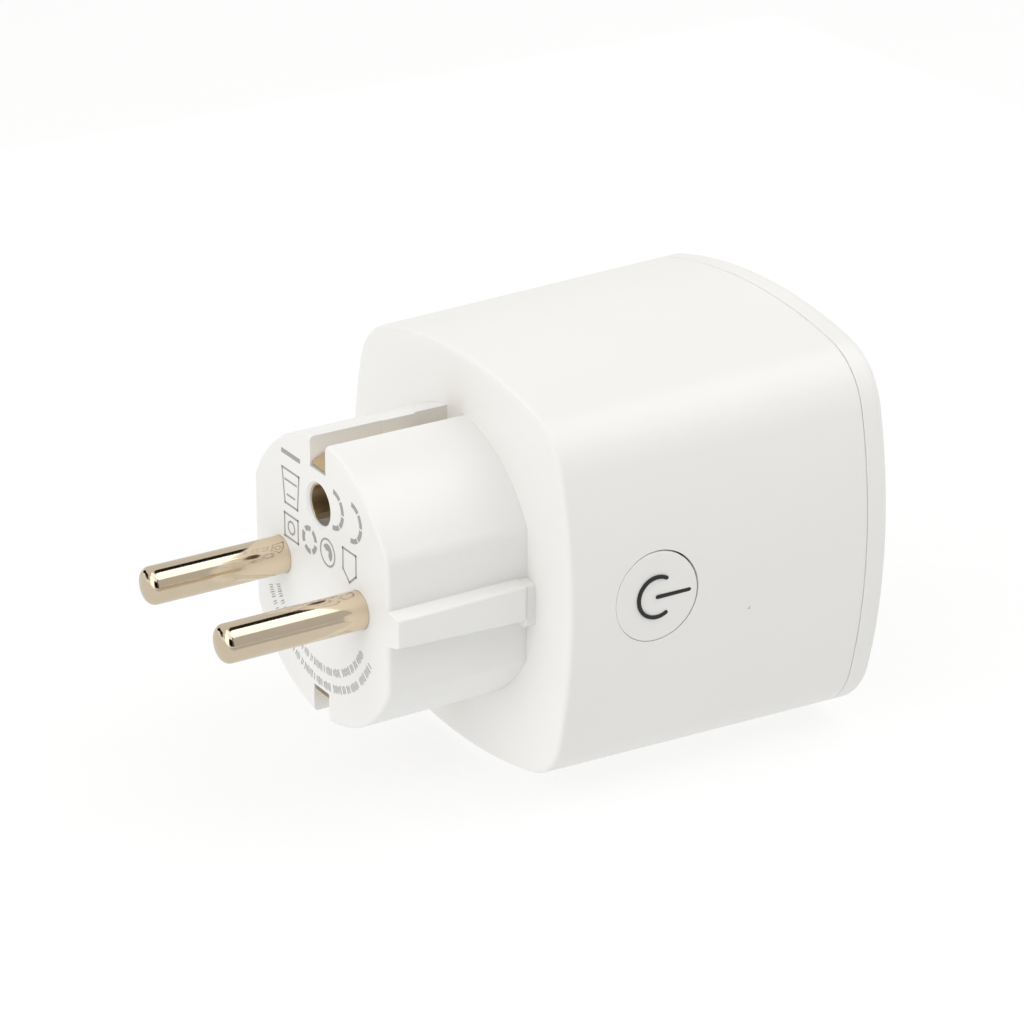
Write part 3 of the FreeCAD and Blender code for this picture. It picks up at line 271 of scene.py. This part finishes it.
def slot_materials():
    """One finished material for each material slot of the CAD nodes."""
    white = (0.845, 0.838, 0.815), (0.870, 0.864, 0.842)
    boss = (0.850, 0.845, 0.825), (0.875, 0.870, 0.852)
    return {
        "shell_plastic": moulded_plastic("shell_plastic", *white, 0.40, 0.10 * MM, 0.0020 * MM),
        "cover_plastic": moulded_plastic("cover_plastic", *white, 0.38, 0.10 * MM, 0.0020 * MM),
        "boss_plastic": moulded_plastic("boss_plastic", *boss, 0.33, 0.14 * MM, 0.0010 * MM),
        "button_plastic": moulded_plastic("button_plastic", *white, 0.36, 0.09 * MM, 0.0016 * MM),
        "shutter_plastic": moulded_plastic("shutter_plastic", (0.62, 0.61, 0.58), (0.68, 0.67, 0.64),
                                           0.42, 0.12 * MM, 0.003 * MM),
        "relay_plastic": moulded_plastic("relay_plastic", (0.015, 0.016, 0.018), (0.030, 0.031, 0.034),
                                         0.45, 0.10 * MM, 0.004 * MM),
        "bobbin_plastic": moulded_plastic("bobbin_plastic", (0.58, 0.55, 0.46), (0.66, 0.63, 0.54),
                                          0.50, 0.10 * MM, 0.003 * MM),
        "black_plastic": moulded_plastic("black_plastic", (0.012, 0.012, 0.013), (0.028, 0.028, 0.030),
                                         0.52, 0.08 * MM, 0.006 * MM),
        "pin_plating": drawn_metal("pin_plating", (0.73, 0.61, 0.45), (0.80, 0.68, 0.52), 0.10),
        "brass": drawn_metal("brass", (0.66, 0.52, 0.33), (0.78, 0.64, 0.43), 0.36),
        "spring_bronze": drawn_metal("spring_bronze", (0.66, 0.44, 0.22), (0.80, 0.58, 0.33), 0.26),
        "steel": drawn_metal("steel", (0.52, 0.52, 0.51), (0.64, 0.64, 0.62), 0.30),
        "spring_steel": drawn_metal("spring_steel", (0.50, 0.50, 0.49), (0.62, 0.62, 0.60), 0.24),
        "relay_iron": drawn_metal("relay_iron", (0.42, 0.41, 0.40), (0.55, 0.54, 0.52), 0.38),
        "shield": drawn_metal("shield", (0.62, 0.62, 0.61), (0.74, 0.74, 0.72), 0.30),
        "solder": drawn_metal("solder", (0.60, 0.60, 0.59), (0.76, 0.76, 0.74), 0.28, (1, 1, 1)),
        "gold_pins": drawn_metal("gold_pins", (0.86, 0.62, 0.26), (0.95, 0.74, 0.36), 0.18),
        "copper": winding("copper"),
        "board": circuit_board("board"),
        "capacitor_sleeve": capacitor_sleeve("capacitor_sleeve"),
        "ferrite": epoxy("ferrite", (0.020, 0.020, 0.022), (0.045, 0.045, 0.047), 0.62),
        "safety_yellow": epoxy("safety_yellow", (0.72, 0.50, 0.05), (0.80, 0.58, 0.08), 0.34),
        "varistor_blue": epoxy("varistor_blue", (0.02, 0.09, 0.38), (0.03, 0.13, 0.48), 0.26),
        "resistor_green": colour_coded("resistor_green"),
        "ceramic_grey": epoxy("ceramic_grey", (0.035, 0.034, 0.034), (0.085, 0.082, 0.078), 0.48),
        "diffuser": clear_resin("diffuser", (0.012, 0.012, 0.013), 0.2),
        "led_resin": clear_resin("led_resin", (0.80, 0.80, 0.70), 0.75),
    }


def finish_nodes():
    """Gives every CAD node the finished material of its slot."""
    made = slot_materials()
    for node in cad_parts.values():
        slot = node.material_slots[0]
        slot.material = made[slot.material.name.split(".")[0]]


# The shutter's spring


def shutter_coil():
    """The shutter's spring on its fixed foot, as a copy of its CAD node held by the housing."""
    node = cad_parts["shutter_spring"]
    coil = bpy.data.objects.new("shutter_coil", node.data.copy())
    bpy.context.scene.collection.objects.link(coil)
    coil.data.materials[0] = node.material_slots[0].material
    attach(coil, "housing")
    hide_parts("shutter_spring")
    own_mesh(coil)


# Printed marks on the plug's face


def stroke(points):
    """A flat stroke of LINE width along points in the face's plane, as (x, z) polygons."""
    strokes = []
    for (x0, z0), (x1, z1) in zip(points, points[1:]):
        length = math.hypot(x1 - x0, z1 - z0)
        ux, uz = (x1 - x0) / length * LINE / 2, (z1 - z0) / length * LINE / 2
        strokes.append([(x0 - ux - uz, z0 - uz + ux), (x1 + ux - uz, z1 + uz + ux),
                        (x1 + ux + uz, z1 + uz - ux), (x0 - ux + uz, z0 - uz - ux)])
    return strokes


def outline(points):
    """A closed stroke."""
    return stroke(points + points[:1])


def arc_band(centre, radius, width, start, end, steps):
    """A curved band about centre from angle start to end in degrees, as one (x, z) polygon."""
    angles = [math.radians(start + (end - start) * i / steps) for i in range(steps + 1)]
    sides = (radius + width / 2, angles), (radius - width / 2, reversed(angles))
    return [(centre[0] + r * math.cos(a), centre[1] + r * math.sin(a)) for r, side in sides for a in side]


def ring(centre, radius, steps):
    """A full ring of LINE width."""
    return [arc_band(centre, radius, LINE, 0, 359.9, steps)]


def dashed_arc(centre, radius, width, start, end, dashes, filled):
    """Even dashes along an arc, each filled to that share of its step."""
    step = (end - start) / dashes
    return [arc_band(centre, radius, width, start + i * step, start + (i + filled) * step, 8)
            for i in range(dashes)]


def mm(*points):
    """Points given in millimetres, as a list in metres."""
    return [(x * MM, z * MM) for x, z in points]


def tick_row(radius, start, end, pitch):
    """A curved row of fine radial ticks in uneven groups: the look of small print, with nothing to read."""
    count = int(math.radians(end - start) * radius / pitch)
    ticks = []
    for i in range(count):
        if i % 8 == 6 or i % 13 == 9:
            continue
        angle = math.radians(start) + i * pitch / radius
        reach = (0.55, 0.40, 0.48, 0.34)[(i * 5 + i // 3) % 4] * MM
        half = (0.055, 0.075)[i % 2] * MM
        across = Vector((-math.sin(angle), math.cos(angle)))
        along = Vector((math.cos(angle), math.sin(angle)))
        middle = along * radius
        ticks.append([tuple(middle + across * u + along * v)
                      for u, v in ((-half, -reach), (half, -reach), (half, reach), (-half, reach))])
    return ticks


def face_marks():
    """All the marks as (x, z) polygons: a bar, outlines, rings and rows of ticks, with no lettering."""
    marks = [mm((-9.0, 13.78), (-4.35, 13.78), (-4.35, 14.38), (-9.0, 14.38))]
    marks += outline(mm((-8.3, 7.4), (-5.2, 7.4), (-4.7, 11.9), (-8.9, 11.9)))
    marks += stroke(mm((-7.7, 8.6), (-5.9, 8.6))) + stroke(mm((-8.2, 10.5), (-5.4, 10.5)))
    marks += outline(mm((-8.5, 2.95), (-5.15, 2.95), (-5.15, 6.0), (-8.5, 6.0)))
    marks += ring((-6.82 * MM, 4.47 * MM), 0.80 * MM, 28)
    marks += dashed_arc((-2.3 * MM, 4.6 * MM), 1.5 * MM, 0.65 * MM, 80, 440, 5, 0.74)
    marks += ring((2.1 * MM, 4.6 * MM), 1.72 * MM, 40)
    marks += [arc_band((2.1 * MM, 4.6 * MM), 0.70 * MM, 0.85 * MM, -60, 150, 24)]
    marks += outline(mm((5.8, 6.7), (8.9, 6.7), (8.9, 4.0), (7.3, 2.7), (5.8, 4.0)))
    marks += dashed_arc((3.5 * MM, 10.8 * MM), 2.35 * MM, 0.62 * MM, -92, 92, 4, 0.86)
    marks += dashed_arc((7.8 * MM, 10.7 * MM), 2.35 * MM, 0.62 * MM, -92, 92, 4, 0.86)
    for radius in (11.4 * MM, 13.5 * MM):
        marks += tick_row(radius, -157, -25, 0.30 * MM)
    return marks


def anticlockwise(polygon):
    """The polygon's points in anticlockwise order, as seen from in front of the face."""
    doubled_area = sum(x0 * z1 - x1 * z0 for (x0, z0), (x1, z1) in zip(polygon, polygon[1:] + polygon[:1]))
    return polygon if doubled_area > 0 else polygon[::-1]


def printed_face():
    """One thin mesh holding every printed mark, each a closed plate of ink on the face."""
    points, faces = [], []
    for polygon in map(anticlockwise, face_marks()):
        count = len(polygon)
        foot = [len(points) + i for i in range(count)]
        top = [i + count for i in foot]
        points += [(x, y, z) for y in (0, -INK) for x, z in polygon]
        faces += top, foot[::-1]
        faces += zip(foot, foot[1:] + foot[:1], top[1:] + top[:1], top)
    data = bpy.data.meshes.new("face_print")
    data.from_pydata(points, [], faces)
    piece = bpy.data.objects.new("face_print", data)
    bpy.context.scene.collection.objects.link(piece)
    data.materials.append(ink("face_ink"))
    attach(piece, "housing")


# Studio


def sheet(name, width, height, z, material):
    """A flat rectangle centred over its origin."""
    data = bpy.data.meshes.new(name)
    w, h = width / 2, height / 2
    data.from_pydata([(-w, -h, z), (w, -h, z), (w, h, z), (-w, h, z)], [], [(0, 1, 2, 3)])
    data.materials.append(material)
    piece = bpy.data.objects.new(name, data)
    bpy.context.scene.collection.objects.link(piece)
    return piece


def floor():
    """A wide sheet of pale paper under the body."""
    sheet("floor", 2 * FLOOR_HALF, 2 * FLOOR_HALF, cad_low.z, floor_paper("floor_paper"))


def facing(toward, distance):
    """The place that far from the aim in the direction toward, and the turn that faces the aim from it."""
    away = Vector(toward)
    return AIM + away.normalized() * distance, (-away).to_track_quat("-Z", "Y").to_euler()


def softbox(name, toward, distance, width, height, power):
    """A rectangular area light that faces the aim from the direction toward, power in watts."""
    data = bpy.data.lights.new(name, "AREA")
    data.shape = "RECTANGLE"
    data.size, data.size_y = width, height
    data.energy = power
    light = bpy.data.objects.new(name, data)
    light.location, light.rotation_euler = facing(toward, distance)
    light.visible_camera = False
    bpy.context.scene.collection.objects.link(light)


def card(name, stand, width, height, tone):
    """A card seen only in reflections: stand is its place and turn, tone its glow, 0 for black velvet."""
    surface = Surface(name, IOR=1.0, Emission_Color=(1, 1, 1, 1), Emission_Strength=tone)
    surface.colour(surface.noise(50 * MM, 2), (0.001, 0.001, 0.001), (0.003, 0.003, 0.003))
    piece = sheet(name, width, height, 0, surface.material)
    piece.location, piece.rotation_euler = stand
    piece.visible_camera = False
    piece.visible_diffuse = False
    piece.visible_shadow = False


def on_floor(x):
    """The place and turn of a card that lies on the floor, its centre at x."""
    return (x, 0, cad_low.z + CARD_LIFT), (0, 0, 0)


def surroundings():
    """A pale room that darkens evenly towards the button's side."""
    world = bpy.data.worlds.new("studio")
    world.use_nodes = True
    nodes, links = world.node_tree.nodes, world.node_tree.links
    place = nodes.new("ShaderNodeTexCoord")
    axes = nodes.new("ShaderNodeSeparateXYZ")
    shade = nodes.new("ShaderNodeMapRange")
    shade.inputs["From Min"].default_value, shade.inputs["From Max"].default_value = -0.1, 1.0
    shade.inputs["To Min"].default_value, shade.inputs["To Max"].default_value = 0.70, 0.06
    links.new(place.outputs["Generated"], axes.inputs["Vector"])
    links.new(axes.outputs["X"], shade.inputs["Value"])
    links.new(shade.outputs["Result"], nodes["Background"].inputs["Strength"])
    nodes["Background"].inputs["Color"].default_value = (1.0, 0.995, 0.985, 1)
    bpy.context.scene.world = world


def reflected(angle):
    """The direction that the pins mirror to the camera at this angle round them, from +X towards +Z."""
    turn = math.radians(angle)
    return (MIRROR_ACROSS * math.cos(turn), MIRROR_ALONG, MIRROR_ACROSS * math.sin(turn))


def studio():
    """The room, an overhead softbox, a front fill, and cards that draw the streaks on the pins."""
    surroundings()
    softbox("overhead", reflected(68), 1.0, 1.1, 1.1, 5.3)
    softbox("overhead_front", (0.28, -0.52, 0.80), 1.0, 1.1, 1.1, 3.1)
    softbox("front_fill", (0.18, -0.93, 0.27), 1.1, 1.0, 1.0, 3.25)
    card("card_dark", facing(reflected(111), 0.8), 0.26, 0.9, 0.0)
    card("card_side", facing(reflected(9), 0.6), 0.84, 0.9, 0.54)
    card("card_front", facing((0.6, -0.6, 0.3), 0.8), 0.5, 0.5, 0.0)
    card("card_left", facing((-0.776, -0.62, 0.15), 0.8), 0.6, 0.3, 0.0)
    card("card_floor", on_floor(-0.083), 0.334, 0.5, 0.76)
    card("card_floor_side", on_floor(0.244), 0.32, 0.5, 0.52)


def camera():
    """The camera at the viewing angle, rolled and set aside a little from its aim."""
    back = Vector((math.sin(AZIMUTH) * math.cos(ELEVATION), -math.cos(AZIMUTH) * math.cos(ELEVATION),
                   math.sin(ELEVATION)))
    level = (-back).cross(Vector((0, 0, 1))).normalized()
    upright = level.cross(-back)
    right = level * math.cos(ROLL) + upright * math.sin(ROLL)
    up = upright * math.cos(ROLL) - level * math.sin(ROLL)
    data = bpy.data.cameras.new("camera")
    data.lens = LENS
    data.sensor_width = 36.0
    data.clip_start, data.clip_end = 0.01, 50.0
    shooter = bpy.data.objects.new("camera", data)
    turn = Matrix((right, up, back)).transposed().to_4x4()
    place = AIM + back * DISTANCE + right * ASIDE[0] + up * ASIDE[1]
    shooter.matrix_world = Matrix.Translation(place) @ turn
    bpy.context.scene.collection.objects.link(shooter)
    bpy.context.scene.camera = shooter


finish_nodes()
shutter_coil()
printed_face()
floor()
studio()
camera()
bpy.context.scene.view_settings.view_transform = "Standard"
